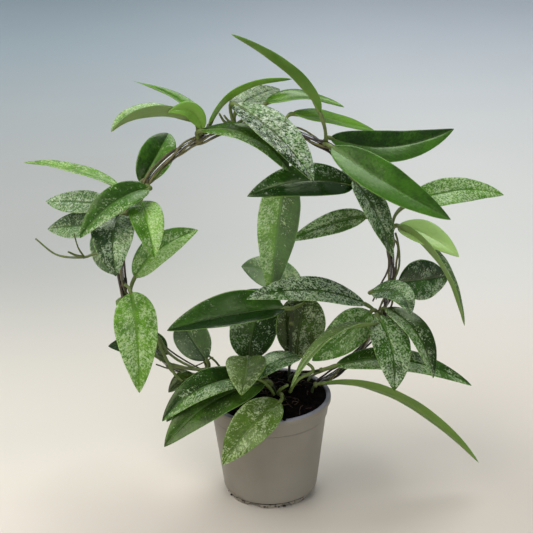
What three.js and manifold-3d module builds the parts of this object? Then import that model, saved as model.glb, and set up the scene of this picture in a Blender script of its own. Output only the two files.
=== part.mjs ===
// Potted hoya trained round a wire hoop, in millimetres, +Z up.
// The origin is the middle of the pot's underside, +X is right and +Y is away from the front.
import * as THREE from "three";
import { mergeVertices } from "three/addons/utils/BufferGeometryUtils.js";
import Module from "manifold-3d";

const wasm = await Module();
wasm.setup();

// ---- driving dimensions ----
const GAP = 0.3; // between pieces that touch

const POT = {
  height: 103,
  rimRadius: 60,
  mouthRadius: 55.3, // inner edge of the lip
  lipHeight: 5,
  collarHeight: 18, // from the rim down to the fine step round the pot
  collarTopRadius: 58.2,
  collarFootRadius: 56.4,
  bodyTopRadius: 55.4,
  bodyFootRadius: 45.6,
  footRadius: 41.3,
  footHeight: 8, // of the slanted foot
  wall: 1.8,
  floor: 2.2,
  sides: 32,
  notches: 8, // drainage notches round the foot
  notchRadius: 3,
  holes: 6, // drainage holes in the floor
  holeRadius: 4,
  holeCircle: 27,
};

// Soil heights from the middle out to the wall, as [radius, height].
const SOIL_TOP = [[0, 110.8], [16, 110.6], [30, 109], [42, 106], [50, 103.4]];
const SOIL = { edge: 101.2, lumpHeight: 0.9, lumpSize: 6.5 };

// The hoop is an upright oval of wire whose two ends stand in the soil.
const HOOP = {
  centre: [-9, 13, 229.3],
  halfWidth: 128,
  halfHeight: 137.4,
  lastAngle: 138, // degrees from the top to where the oval turns into a leg
  angleStep: 13.8,
  legX: 42,
  legBottom: 45,
  wireRadius: 2,
  wireSides: 6,
  wireStep: 12,
};

// Three thin stems wind round the wire.
const STEM = { count: 3, radius: 1.4, orbit: 4, pitch: 112, step: 16, legStep: 9, sides: 4, root: 90 };

// A swollen leaf node hugs the wire and holds the three stems together.
const KNOT = { radius: 6.2, length: 8.5, around: 6, along: 4, stalkOffset: 4 };

const PETIOLE = { radius: 1.6, sides: 3, step: 15, arrive: 0.5, bite: 2 };
const LEAF = { thickness: 1.4, widest: 0.42, baseFullness: 0.62 };
const LEAF_ROWS = [0, 0.09, 0.25, 0.45, 0.67, 0.87, 1]; // along the midrib
const LEAF_COLUMNS = [-1, 0, 1]; // from edge to edge

const SHOOT = { radius: 1.7, sides: 5, step: 15, root: 90, holeRadius: 3 };
const TWIG = { sides: 4, step: 15, rootOffset: 4 };
const LEG_HOLE = { radius: 6.4, sides: 8, step: 9, bottom: 88 };

// ---- materials ----
const material = (color, roughness, metalness = 0) =>
  new THREE.MeshStandardMaterial({ color, roughness, metalness, flatShading: true });
const potPlastic = material(0x766d62, 0.55);
const soilMix = material(0x17120f, 0.95);
const blackWire = material(0x141312, 0.3, 0.4);
const foliage = material(0x35682a, 0.4);

// ---- joining and cutting ----
function solid(geometry) {
  const bare = geometry.clone();
  bare.deleteAttribute("normal");
  bare.deleteAttribute("uv");
  const merged = mergeVertices(bare, 1e-4);
  return new wasm.Manifold(
    new wasm.Mesh({
      numProp: 3,
      vertProperties: new Float32Array(merged.attributes.position.array),
      triVerts: new Uint32Array(merged.index.array),
    }),
  );
}

const unite = (solids) => solids.reduce((whole, next) => whole.add(next));
const cut = (whole, tools) => tools.reduce((rest, tool) => rest.subtract(tool), whole);

function meshOf(name, shape, meshMaterial) {
  const data = shape.getMesh();
  const geometry = new THREE.BufferGeometry();
  geometry.setAttribute("position", new THREE.BufferAttribute(data.vertProperties, 3));
  geometry.setIndex(new THREE.BufferAttribute(data.triVerts, 1));
  geometry.computeVertexNormals();
  const mesh = new THREE.Mesh(geometry, meshMaterial);
  mesh.name = name;
  return mesh;
}

const vector = ([x, y, z]) => new THREE.Vector3(x, y, z);
const radians = THREE.MathUtils.degToRad;
const repeat = (count, make) => Array.from({ length: count }, (_, i) => make(i));

// A rod of a few flat sides along a curve, with a step about every so many millimetres.
function rod(curve, radius, sides, step) {
  const corners = repeat(sides, (i) => {
    const a = (i / sides) * 2 * Math.PI;
    return new THREE.Vector2(radius * Math.cos(a), radius * Math.sin(a));
  });
  const steps = Math.max(2, Math.round(curve.getLength() / step));
  return new THREE.ExtrudeGeometry(new THREE.Shape(corners), {
    extrudePath: curve,
    steps,
    bevelEnabled: false,
  });
}

const through = (points) => new THREE.CatmullRomCurve3(points, false, "centripetal");

// An upright peg, for a plain hole.
function peg(x, y, radius, bottom, top, sides = 8) {
  const geometry = new THREE.CylinderGeometry(radius, radius, top - bottom, sides);
  geometry.rotateX(Math.PI / 2);
  return geometry.translate(x, y, (top + bottom) / 2);
}

// A round body turned about Z, from [radius, height] pairs that start and end on the axis.
function turned(profile) {
  const points = profile.map(([r, z]) => new THREE.Vector2(r, z));
  return new THREE.LatheGeometry(points, POT.sides).rotateX(Math.PI / 2);
}

// ---- the pot ----
const collarFoot = POT.height - POT.collarHeight;
const lipFoot = POT.height - POT.lipHeight;

function pot() {
  const body = solid(
    turned([
      [0, 0],
      [POT.footRadius, 0],
      [POT.bodyFootRadius, POT.footHeight],
      [POT.bodyTopRadius, collarFoot - 0.6],
      [POT.collarFootRadius, collarFoot],
      [POT.collarTopRadius, lipFoot - 1],
      [POT.rimRadius, lipFoot],
      [POT.rimRadius, POT.height - 0.8],
      [POT.rimRadius - 0.8, POT.height],
      [POT.mouthRadius + 0.8, POT.height],
      [POT.mouthRadius, POT.height - 0.8],
      [POT.mouthRadius, lipFoot],
      [POT.bodyTopRadius - POT.wall, collarFoot],
      [POT.bodyFootRadius - POT.wall, POT.footHeight],
      [POT.footRadius - POT.wall, POT.floor],
      [0, POT.floor],
    ]),
  );
  const notches = repeat(POT.notches, (i) => {
    const length = 12;
    const bore = new THREE.CylinderGeometry(POT.notchRadius, POT.notchRadius, length, 8);
    bore.rotateZ(Math.PI / 2);
    bore.translate(POT.footRadius + length / 2 - 3, 0, 0);
    return solid(bore.rotateZ(radians(20 + (360 * i) / POT.notches)));
  });
  const holes = repeat(POT.holes, (i) => {
    const a = (2 * Math.PI * i) / POT.holes;
    const [x, y] = [POT.holeCircle * Math.cos(a), POT.holeCircle * Math.sin(a)];
    return solid(peg(x, y, POT.holeRadius, -1, POT.floor + 1));
  });
  return cut(body, [...notches, ...holes]);
}

// ---- the hoop's path ----
function ovalPoint(angle) {
  const a = radians(angle);
  const [x, y, z] = HOOP.centre;
  return new THREE.Vector3(x + HOOP.halfWidth * Math.sin(a), y, z + HOOP.halfHeight * Math.cos(a));
}

// How each leg clears the rim and turns down into the soil, as [distance from the axis, height].
const LEFT_TURN = [[75, 117], [58, 112.5], [50, 108.8], [45, 102.5], [42.5, 96]];
const RIGHT_TURN = [[65, 118.2], [57.5, 113.2], [50.5, 108.8], [45, 102.5], [42.5, 96]];
const LEG_HEIGHTS = [88, 76, 60, HOOP.legBottom];

function hoopPath() {
  const y = HOOP.centre[1];
  const leg = (side, turn) => [
    ...turn.map(([x, z]) => new THREE.Vector3(side * x, y, z)),
    ...LEG_HEIGHTS.map((z) => new THREE.Vector3(side * HOOP.legX, y, z)),
  ];
  const oval = [];
  for (let angle = -HOOP.lastAngle; angle <= HOOP.lastAngle + 0.1; angle += HOOP.angleStep) {
    oval.push(ovalPoint(angle));
  }
  const path = through([...leg(-1, LEFT_TURN).reverse(), ...oval, ...leg(1, RIGHT_TURN)]);
  path.arcLengthDivisions = 1000;
  return path;
}

const PATH = hoopPath();
const PATH_LENGTH = PATH.getLength();

// The place along the wire, as a share of its length, that lies nearest to a point.
function nearestAlong(target) {
  const tries = 1500;
  const places = repeat(tries + 1, (i) => i / tries);
  const distance = (u) => PATH.getPointAt(u).distanceTo(target);
  return places.reduce((best, u) => (distance(u) < distance(best) ? u : best));
}

// Angles round the oval are in degrees from its top, clockwise as seen from the front.
const alongAt = (angle) => nearestAlong(ovalPoint(angle));
const rootAlong = (side) => nearestAlong(new THREE.Vector3(side * HOOP.legX, HOOP.centre[1], STEM.root));

// A rod that follows the wire over a stretch of it.
function alongWire(start, end, radius, sides, step) {
  const count = Math.ceil(((end - start) * PATH_LENGTH) / step);
  const points = repeat(count + 1, (i) => PATH.getPointAt(start + ((end - start) * i) / count));
  return rod(through(points), radius, sides, step);
}

const wire = () => solid(rod(PATH, HOOP.wireRadius, HOOP.wireSides, HOOP.wireStep));
const wireBore = solid(rod(PATH, HOOP.wireRadius + GAP, HOOP.wireSides, HOOP.wireStep));

// ---- stems and leaf nodes round the wire ----
function stemPoint(along, phase) {
  const back = new THREE.Vector3(0, 1, 0);
  const outward = PATH.getTangentAt(along).cross(back);
  const turn = phase + (2 * Math.PI * along * PATH_LENGTH) / STEM.pitch;
  return PATH.getPointAt(along)
    .addScaledVector(outward, STEM.orbit * Math.cos(turn))
    .addScaledVector(back, STEM.orbit * Math.sin(turn));
}

function windingStem(start, end, phase, step) {
  const count = Math.max(2, Math.round(((end - start) * PATH_LENGTH) / step));
  const points = repeat(count + 1, (i) => stemPoint(start + ((end - start) * i) / count, phase));
  return rod(through(points), STEM.radius, STEM.sides, step);
}

function knot(along) {
  const geometry = new THREE.SphereGeometry(1, KNOT.around, KNOT.along);
  geometry.scale(KNOT.radius, KNOT.length, KNOT.radius);
  const upright = new THREE.Vector3(0, 1, 0);
  geometry.applyQuaternion(new THREE.Quaternion().setFromUnitVectors(upright, PATH.getTangentAt(along)));
  const centre = PATH.getPointAt(along);
  return geometry.translate(centre.x, centre.y, centre.z);
}

// Where a stalk that heads for a point grows out of the knot, beside the wire.
function knotRoot(along, target, offset) {
  const centre = PATH.getPointAt(along);
  const sideways = target.clone().sub(centre).projectOnPlane(PATH.getTangentAt(along));
  return centre.addScaledVector(sideways.normalize(), offset);
}

// ---- leaves ----
// base, middle and tip lie on the midrib; faces is the way the upper side looks; fold is the
// slope of each half, in degrees; at says which knot or how far up the shoot the leaf grows.
const leaf = (at, base, middle, tip, width, faces, fold, widest = LEAF.widest) => ({
  at,
  base: vector(base),
  middle: vector(middle),
  tip: vector(tip),
  width,
  faces: vector(faces),
  fold: radians(fold),
  widest,
});

// Half-width of a blade as a share of its greatest, at t from 0 at the base to 1 at the tip.
function fullness(t, widest) {
  const rise = LEAF.baseFullness;
  const fall = (rise * (1 - widest)) / widest;
  return (t ** rise * (1 - t) ** fall) / (widest ** rise * (1 - widest) ** fall);
}

function midrib({ base, middle, tip }) {
  const pull = middle.clone().multiplyScalar(2).addScaledVector(base, -0.5).addScaledVector(tip, -0.5);
  return new THREE.QuadraticBezierCurve3(base, pull, tip);
}

// The points across a blade at t, each a pair on the upper and the under side.
function bladeRow(form, rib, t) {
  const centre = rib.getPoint(t);
  const ahead = rib.getTangent(t);
  const across = ahead.clone().cross(form.faces).normalize();
  const up = across.clone().cross(ahead);
  const half = (form.width / 2) * fullness(t, form.widest);
  const columns = half > 0 ? LEAF_COLUMNS : [0];
  return columns.map((v) => {
    const side = Math.sign(v);
    const lean = side ? form.fold : 0;
    const place = centre
      .clone()
      .addScaledVector(across, half * v * Math.cos(lean))
      .addScaledVector(up, half * Math.abs(v) * Math.sin(lean));
    const normal = new THREE.Vector3()
      .addScaledVector(up, Math.cos(lean))
      .addScaledVector(across, -side * Math.sin(lean));
    return [
      place.clone().addScaledVector(normal, LEAF.thickness / 2),
      place.clone().addScaledVector(normal, -LEAF.thickness / 2),
    ];
  });
}

function blade(form) {
  const rib = midrib(form);
  const corners = [];
  const face = (...points) => corners.push(...points);
  const bothSides = (a, b, c) => {
    face(a[0], b[0], c[0]);
    face(a[1], c[1], b[1]);
  };
  const edge = (a, b) => {
    face(a[0], a[1], b[0]);
    face(b[0], a[1], b[1]);
  };
  const rows = LEAF_ROWS.map((t) => bladeRow(form, rib, t));
  rows.slice(1).forEach((far, i) => {
    const near = rows[i];
    const [left, right] = [Math.max(near.length, far.length) - 1, 0];
    const pick = (row, j) => row[row.length === 1 ? 0 : j];
    for (let j = right; j < left; j++) {
      if (near.length > 1) bothSides(near[j], near[j + 1], pick(far, j + 1));
      if (far.length > 1) bothSides(pick(near, j), far[j + 1], far[j]);
    }
    edge(far[0], near[0]);
    edge(near.at(-1), far.at(-1));
  });
  return new THREE.BufferGeometry().setFromPoints(corners);
}

// A leaf's stalk runs from its root into the base of the blade and a little along the midrib.
function petiole(root, form) {
  const rib = midrib(form);
  const heading = rib.getTangent(0);
  const reach = form.base.distanceTo(root);
  const control = form.base.clone().addScaledVector(heading, -PETIOLE.arrive * reach);
  const end = form.base.clone().addScaledVector(heading, PETIOLE.bite);
  const curve = new THREE.QuadraticBezierCurve3(root, control, end);
  return rod(curve, PETIOLE.radius, PETIOLE.sides, PETIOLE.step);
}

// ---- the vine round the hoop, from the left leg over the top to the right leg ----
// Each section ends at an angle round the oval, and its leaves grow from its knots, also given as angles.
const SECTIONS = [
  {
    name: "vine_left_low",
    end: -112,
    knots: [-131, -138],
    leaves: [
      leaf(1, [-70, 0, 121], [-83, -8, 122], [-96, -14, 113], 20, [0, -0.5, 1], 12),
      leaf(0, [-99, 22, 139], [-125, 34, 142], [-159, 52, 133], 34, [0, -0.6, 1], 12),
      leaf(1, [-59, -8, 144], [-71, -5, 163], [-82, 0, 181], 35, [0.1, -0.9, 0.5], 10, 0.56),
    ],
  },
  {
    name: "vine_left_mid",
    end: -102,
    knots: [-106],
    leaves: [
      leaf(0, [-126, 26, 216], [-100, 36, 242], [-65, 48, 255], 34, [-0.3, -0.7, 0.7], 10),
      leaf(0, [-132, 26, 197], [-133, 64, 164], [-129, 94, 120], 34, [0, -0.4, 1], 10),
    ],
  },
  {
    name: "vine_left_bend",
    end: -78,
    knots: [-96, -85],
    leaves: [leaf(0, [-128, 0, 211], [-123, -14, 177], [-123, -22, 117], 42, [0.05, -1, 0.35], 8)],
    twigs: [
      {
        at: 1,
        radius: 1,
        points: [[-149, 7, 248], [-161, 9, 247], [-171, 12, 243], [-198, 20, 243], [-218, 27, 257]],
      },
      { radius: 0.9, points: [[-171, 12, 243], [-176, 11, 253], [-179, 10, 268]] },
      { radius: 1.4, points: [[-171, 12, 243], [-178, 9, 246], [-185, 6, 251]] },
    ],
  },
  {
    name: "vine_left_high",
    end: -59,
    knots: [-66],
    leaves: [
      leaf(0, [-134, 4, 286], [-138, -30, 279], [-135, -52, 248], 42, [0, -0.7, 1], 12),
      leaf(0, [-115, 2, 300], [-107, -26, 290], [-100, -44, 262], 33, [0.2, -0.8, 0.7], 14),
      leaf(0, [-158, 28, 268], [-184, 56, 259], [-214, 76, 249], 28, [0, -0.85, 0.6], 6),
      leaf(0, [-137, 34, 270], [-153, 33, 244], [-145, 29, 218], 32, [-0.2, -1, 0.3], 6),
      leaf(0, [-124, 28, 281], [-135, 68, 266], [-156, 100, 236], 34, [0, -0.2, 1], 10),
    ],
  },
  {
    name: "vine_left_top",
    end: -37,
    knots: [-52],
    leaves: [
      leaf(0, [-148, 28, 289], [-181, 50, 285], [-212, 66, 281], 27, [0, -0.75, 0.8], 6),
      leaf(0, [-136, 20, 309], [-182, 40, 321], [-229, 58, 323], 28, [-0.05, 0.1, 1], 8),
      leaf(0, [-106, 0, 313], [-137, -22, 307], [-167, -38, 280], 31, [-0.25, -0.85, 0.75], 12),
      leaf(0, [-115, 20, 312], [-101, 36, 333], [-90, 60, 348], 33, [0.05, -0.95, 0.5], 8, 0.5),
    ],
  },
  {
    name: "vine_top_left",
    end: -15,
    knots: [-23],
    leaves: [
      leaf(0, [-66, 8, 375], [-105, -8, 384], [-135, -24, 374], 34, [0, 0.15, 1], 36),
      leaf(0, [-56, 20, 364], [-76, 34, 386], [-121, 46, 403], 22, [0.6, -0.25, 0.8], 14, 0.3),
      leaf(0, [-50, 20, 366], [-22, 31, 394], [27, 44, 402], 28, [-0.5, 0.25, 0.85], 14),
      leaf(0, [-57, 0, 367], [-12, -20, 366], [21, -36, 339], 28, [0.25, -0.4, 1], 8, 0.5),
    ],
  },
  {
    name: "vine_top",
    end: 4,
    knots: [-8],
    leaves: [
      leaf(0, [-25, 26, 377], [-8, 58, 383], [16, 92, 381], 34, [-0.1, -0.7, 0.8], 8),
      leaf(0, [-25, -2, 391], [13, -38, 370], [42, -64, 337], 40, [0.55, -0.75, 0.6], 12),
      leaf(0, [-11, 28, 372], [6, 66, 356], [23, 98, 331], 32, [0, -0.1, 1], 10),
    ],
    twigs: [
      { at: 0, radius: 1.4, points: [[-35, 9, 372], [-40, 6, 381]] },
      { at: 0, radius: 1.3, points: [[-32, 16, 371], [-36, 18, 376]] },
    ],
  },
  {
    name: "vine_top_right",
    end: 21,
    knots: [12],
    leaves: [
      leaf(0, [3, 24, 385], [36, 36, 387], [75, 42, 375], 28, [0.1, -0.1, 1], 10),
      leaf(0, [27, 22, 375], [67, 48, 361], [106, 70, 344], 26, [0.1, -0.35, 1], 6),
      leaf(0, [20, 6, 327], [10, 6, 261], [3, 10, 192], 40, [-0.15, -1, 0.15], 8, 0.34),
    ],
  },
  {
    name: "vine_right_top",
    end: 42,
    knots: [30],
    leaves: [
      leaf(0, [51, 8, 379], [24, 20, 413], [-28, 34, 447], 32, [0.6, 0.3, 0.8], 24),
      leaf(0, [61, 24, 351], [121, 52, 333], [182, 76, 343], 35, [0, -0.85, 0.75], 6),
      leaf(0, [61, -2, 350], [107, -32, 325], [164, -50, 295], 38, [0.3, -0.85, 0.75], 10),
      leaf(0, [70, 30, 338], [98, 70, 309], [130, 104, 273], 34, [0.1, -0.3, 1], 10),
    ],
  },
  {
    name: "vine_right_high",
    end: 62,
    knots: [52],
    leaves: [
      leaf(0, [81, 0, 312], [34, -24, 325], [-16, -40, 317], 34, [0, -0.9, 0.75], 8),
      leaf(0, [81, 2, 316], [100, -18, 292], [116.5, -14, 247], 30, [0.6, -0.75, 0.3], 10),
      leaf(0, [80, 32, 310], [63, 72, 297], [39, 106, 281], 34, [0, -0.2, 1], 10),
    ],
  },
  {
    name: "vine_right_mid",
    end: 86,
    knots: [76],
    leaves: [
      leaf(0, [95, 22, 274], [62, 30, 265], [22, 34, 247], 25, [-0.1, -0.7, 0.8], 6),
      leaf(0, [131, 30, 281], [182, 50, 289], [231, 68, 278], 30, [0.1, -0.7, 0.8], 6),
      leaf(0, [123, 2, 272], [147, -26, 272], [173, -46, 258], 26, [0.2, -0.85, 0.65], 8),
      leaf(0, [123, -6, 274], [156, -48, 252], [177, -66, 199], 30, [0.9, -0.15, 0.5], 20),
    ],
  },
  {
    name: "vine_right_low",
    end: 104,
    knots: [97],
    leaves: [
      leaf(0, [126, 22, 208], [154, 52, 198], [182, 80, 190], 40, [0, -1, 0.4], 4),
      leaf(0, [98, -4, 208], [120, -34, 219], [129, -56, 206], 26, [0.15, -0.75, 0.7], 6),
    ],
  },
  {
    name: "vine_right_base",
    end: 125,
    knots: [112],
    leaves: [
      leaf(0, [104, -4, 184], [115, -34, 163], [116, -52, 129], 38, [0.25, -0.9, 0.5], 8),
      leaf(0, [112, 4, 188], [139, -24, 173], [153, -44, 137], 32, [0.6, -0.65, 0.55], 14),
      leaf(0, [92, 0, 195], [38, -28, 221], [-19, -46, 221], 34, [0, -0.5, 1], 8),
      leaf(0, [102, -14, 180], [56, -44, 180], [20, -64, 140], 22, [-0.5, -0.1, 0.8], 14),
      leaf(0, [98, 2, 186], [74, -2, 165], [42, 2, 136], 38, [-0.3, -0.9, 0.6], 8),
      leaf(0, [107, 26, 173], [100, 66, 148], [85, 98, 116], 32, [-0.1, -0.4, 1], 10),
      leaf(0, [119, 26, 171], [140, 64, 143], [161, 94, 101], 32, [0.1, -0.4, 1], 10),
    ],
  },
  { name: "vine_right_leg", knots: [134], leaves: [] },
];

// ---- young shoots that come up out of the soil beside the hoop ----
// The first two points of each stem stand upright, one above the other, in the shoot's hole.
const SHOOTS = [
  {
    name: "shoot_centre",
    stem: [[20, 18, SHOOT.root], [20, 18, 112], [22, 16, 150], [24, 14, 190]],
    leaves: [
      leaf(0.97, [16, -8, 195], [-36, -24, 196], [-93, -36, 187], 47, [-0.05, -0.65, 1], 26),
      leaf(0.35, [27, 22, 132], [31, 26, 160], [38, 32, 191], 50, [0, -1, 0.1], 12, 0.58),
      leaf(0.95, [34, 52, 191], [3, 64, 204], [-25, 76, 206], 34, [0, -0.9, 0.5], 8),
      leaf(0.45, [30, 2, 141], [5, -17, 143], [-21, -34, 130], 30, [0, -0.15, 1], 6),
      leaf(0.8, [12, 46, 175], [-21, 76, 170], [-57, 104, 146], 34, [0, -0.3, 1], 10),
    ],
  },
  {
    name: "shoot_back",
    stem: [[-18, 28, SHOOT.root], [-18, 28, 110], [-19, 29, 122]],
    leaves: [leaf(0.96, [-19, 30, 126], [-15, 34, 152], [-4, 45, 187], 48, [-0.1, -1, 0.2], 10, 0.6)],
  },
  {
    name: "shoot_front_left",
    stem: [[6, -12, SHOOT.root], [6, -12, 112], [0, -12, 122], [-10, -9, 140]],
    leaves: [
      leaf(0.98, [-20, -12, 147], [-21, -46, 148], [-25, -84, 143], 42, [0, -0.3, 1], 20),
      leaf(0.75, [-18, -20, 128], [-60, -46, 134], [-99, -66, 109], 33, [-0.1, -0.65, 1], 12),
      leaf(0.55, [-4, -21, 126], [-55, -54, 120], [-97, -80, 90], 40, [-0.1, -0.75, 1], 10),
      leaf(0.6, [-42, -16, 112], [-73, -30, 112], [-97, -42, 96], 28, [-0.1, -0.4, 1], 10),
    ],
  },
  {
    name: "shoot_front",
    stem: [[14, -27, SHOOT.root], [14, -27, 112], [11, -33, 118]],
    leaves: [leaf(0.96, [10, -42, 115], [-17, -70, 104], [-44, -84, 72], 39, [-0.25, -0.85, 0.6], 6)],
  },
  {
    name: "shoot_right_low",
    stem: [[42, -5, SHOOT.root], [42, -5, 109], [46, -6, 116]],
    leaves: [leaf(0.96, [53, -6, 116], [128, -10, 99], [204, -14, 30], 28, [0.25, 0.7, 0.8], 4)],
  },
  {
    name: "shoot_right",
    stem: [[20, 7, SHOOT.root], [20, 7, 115], [27, 5, 122], [42, -3, 127], [52, -10, 132]],
    leaves: [leaf(0.97, [64, -12, 137], [129, -14, 141], [195, -8, 111], 30, [0.05, -0.45, 1], 6)],
  },
];

function vineSection(section, start, end, step) {
  const knots = section.knots.map(alongAt);
  const stems = repeat(STEM.count, (i) => windingStem(start, end, (2 * Math.PI * i) / STEM.count, step));
  const petioles = section.leaves.map((form) =>
    petiole(knotRoot(knots[form.at], form.base, KNOT.stalkOffset), form),
  );
  const twigs = (section.twigs ?? []).map(({ at, radius, points }) => {
    const route = points.map(vector);
    if (at !== undefined) route.unshift(knotRoot(knots[at], route[0], TWIG.rootOffset));
    return rod(through(route), radius, TWIG.sides, TWIG.step);
  });
  const knotted = unite([...knots.map(knot), ...petioles, ...twigs].map(solid)).subtract(wireBore);
  return unite([knotted, ...[...stems, ...section.leaves.map(blade)].map(solid)]);
}

function shootSolid(shoot) {
  const stem = through(shoot.stem.map(vector));
  const grown = shoot.leaves.flatMap((form) => [petiole(stem.getPointAt(form.at), form), blade(form)]);
  return unite([rod(stem, SHOOT.radius, SHOOT.sides, SHOOT.step), ...grown].map(solid));
}

// ---- the soil ----
// Crumbs and hollows of the potting mix, by a smooth formula of the place.
function lump(x, y) {
  const [a, b] = [x / SOIL.lumpSize, y / SOIL.lumpSize];
  return SOIL.lumpHeight * (Math.sin(a + 1.7 * Math.sin(b)) + Math.cos(1.3 * b - 1.1 * Math.sin(a)));
}

function soil() {
  const side = [
    [POT.footRadius - POT.wall, POT.floor],
    [POT.bodyFootRadius - POT.wall, POT.footHeight],
    [POT.bodyTopRadius - POT.wall, collarFoot],
    [POT.mouthRadius, lipFoot],
  ].map(([r, z]) => [r - GAP, z + GAP]);
  const top = [[POT.mouthRadius - GAP, SOIL.edge], ...[...SOIL_TOP].reverse()];
  const body = turned([[0, POT.floor + GAP], ...side, ...top]);
  const places = body.attributes.position;
  for (let i = 0; i < places.count; i++) {
    const [x, y, z] = [places.getX(i), places.getY(i), places.getZ(i)];
    if (z > SOIL.edge + 1) places.setZ(i, z + lump(x, y));
  }
  const legs = [-1, 1].flatMap((sign) => {
    const shaft = nearestAlong(new THREE.Vector3(sign * HOOP.legX, HOOP.centre[1], LEG_HOLE.bottom));
    const [from, to] = [shaft, alongAt(sign * HOOP.lastAngle)].sort((a, b) => a - b);
    return [
      alongWire(from, to, LEG_HOLE.radius, LEG_HOLE.sides, LEG_HOLE.step),
      peg(sign * HOOP.legX, HOOP.centre[1], HOOP.wireRadius + 2 * GAP, HOOP.legBottom - GAP, LEG_HOLE.bottom + 1),
    ];
  });
  const holes = SHOOTS.map(({ stem: [[x, y]] }) =>
    peg(x, y, SHOOT.holeRadius, SHOOT.root - GAP, SOIL_TOP[0][1] + 8),
  );
  return cut(solid(body), [...legs, ...holes].map(solid));
}

// ---- the assembly ----
const plant = new THREE.Group();
plant.add(meshOf("pot", pot(), potPlastic));
plant.add(meshOf("soil", soil(), soilMix));
plant.add(meshOf("hoop", wire(), blackWire));

let start = rootAlong(-1);
for (const section of SECTIONS) {
  const inSoil = section === SECTIONS[0] || section === SECTIONS.at(-1);
  const end = section.end === undefined ? rootAlong(1) : alongAt(section.end) - GAP / 2 / PATH_LENGTH;
  const shape = vineSection(section, start, end, inSoil ? STEM.legStep : STEM.step);
  plant.add(meshOf(section.name, shape, foliage));
  start = end + (1.5 * GAP) / PATH_LENGTH;
}

for (const shoot of SHOOTS) {
  plant.add(meshOf(shoot.name, shootSolid(shoot), foliage));
}

export default plant;
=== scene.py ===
import random
from math import atan2, copysign, cos, exp, hypot, pi, radians, sin, sqrt
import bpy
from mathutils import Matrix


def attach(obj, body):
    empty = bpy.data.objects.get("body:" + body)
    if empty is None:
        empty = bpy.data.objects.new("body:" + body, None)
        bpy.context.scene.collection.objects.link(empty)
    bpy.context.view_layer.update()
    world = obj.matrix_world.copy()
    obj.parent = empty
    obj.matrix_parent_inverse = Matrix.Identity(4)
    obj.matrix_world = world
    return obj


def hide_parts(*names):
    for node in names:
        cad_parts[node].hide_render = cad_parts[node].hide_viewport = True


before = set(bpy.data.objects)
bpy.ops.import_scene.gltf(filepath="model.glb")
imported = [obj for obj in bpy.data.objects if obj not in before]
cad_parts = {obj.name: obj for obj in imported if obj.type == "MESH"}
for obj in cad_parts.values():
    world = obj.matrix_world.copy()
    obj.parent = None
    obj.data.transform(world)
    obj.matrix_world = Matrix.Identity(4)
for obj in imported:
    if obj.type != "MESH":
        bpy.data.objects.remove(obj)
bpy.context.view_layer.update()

from types import SimpleNamespace as Named

import bmesh
import bpy
import numpy as np
from mathutils import Matrix, Vector, noise

MM = 0.001

# ---- camera and light ----
CAMERA = Named(place=(0, -1.22, 0.7055), tilt=68.9, roll=-1.1, lens=94.56, sensor=36)
# Each light's name, place, aim, size, power and colour.
LIGHTS = [
    ("key", (-1.5, -0.9, 2.2), (0, 0, 0.2), 2.8, 64, (1.0, 0.975, 0.94)),
    ("fill", (1.2, -2.2, 0.9), (0, 0, 0.15), 1.6, 18, (0.95, 0.97, 1.0)),
    ("overhead", (0.4, 1.1, 2.3), (0, 0.2, 0.2), 1.8, 34, (0.95, 0.98, 1.0)),
]
SKY = Named(colour=(0.82, 0.89, 1.0, 1), strength=0.22)
FLOOR = Named(size=14, place=(0, 2, 0))

# ---- sizes in millimetres, from the CAD source, with the wire a little thinner ----
POT = Named(
    height=103,
    rim=60,
    mouth=55.3,
    lip=5,
    collar=18,
    collar_top=58.2,
    collar_foot=56.4,
    body_top=55.4,
    body_foot=45.6,
    foot=41.3,
    foot_height=8,
    wall=1.8,
    floor=2.2,
    sides=192,
    notches=8,
    notch_radius=3,
    notch_start=20,  # degrees
    notch_out=3,  # how far out of the foot a notch's cutter has its middle
    notch_depth=12,
    notch_stretch=(1, 2.1, 1.45, 1),
    holes=6,
    hole_radius=4,
    hole_depth=6,
    hole_circle=27,
)
SOIL_TOP = [(0, 110.8), (16, 110.6), (30, 109), (42, 106), (50, 103.4), (POT.mouth, 101.2)]
SOIL = Named(gap=0.3, rings=64, sides=200, crumbs=420, fibres=70, fibre_reach=53.5, foot_crumbs=26)
HOOP = Named(
    centre=(-9, 13, 229.3),
    half_width=128,
    half_height=137.4,
    last_angle=138,
    angle_step=13.8,
    leg_x=42,
    wire=1.9,
)
LEFT_TURN = [(75, 117), (58, 112.5), (50, 108.8), (45, 102.5), (42.5, 96)]
RIGHT_TURN = [(65, 118.2), (57.5, 113.2), (50.5, 108.8), (45, 102.5), (42.5, 96)]
LEG_HEIGHTS = [88, 76, 60, 45]
STEM = Named(pitch=112, root=90, shoot=1.35)
STALK_OFFSET = 4
# Half-axes of the swellings: on the vine's knots, and at the foot of a stalk on the vine or a shoot.
KNOT, VINE_FOOT, SHOOT_FOOT = (4.8, 3.3, 3.3), (2.6, 2.0, 1.9), (2.8, 2.5, 2.5)
LEAF = Named(
    widest=0.42,  # the share of its length where a blade is widest
    rise=0.62,  # the power by which it widens from its foot
    thickness=1.6,
    arrive=0.5,  # the share of a stalk's reach over which it turns into the midrib
    crease=0.1,  # how round the fold along the midrib is, against half the width
    ripple=0.025,
    wave_along=26,
    wave_across=17,
    groove_top=0.55,
    groove_under=0.75,
)
# Across a blade from the midrib to its edge, and along it from its foot to its tip, as shares.
HALF = [0, 0.03, 0.07, 0.14, 0.26, 0.4, 0.55, 0.7, 0.83, 0.92, 0.97, 1]
ACROSS = [-v for v in HALF[:0:-1]] + HALF
ALONG = [(1 - cos(pi * (i / 40) ** 0.95)) / 2 for i in range(41)]

rng = random.Random(20)


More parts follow.
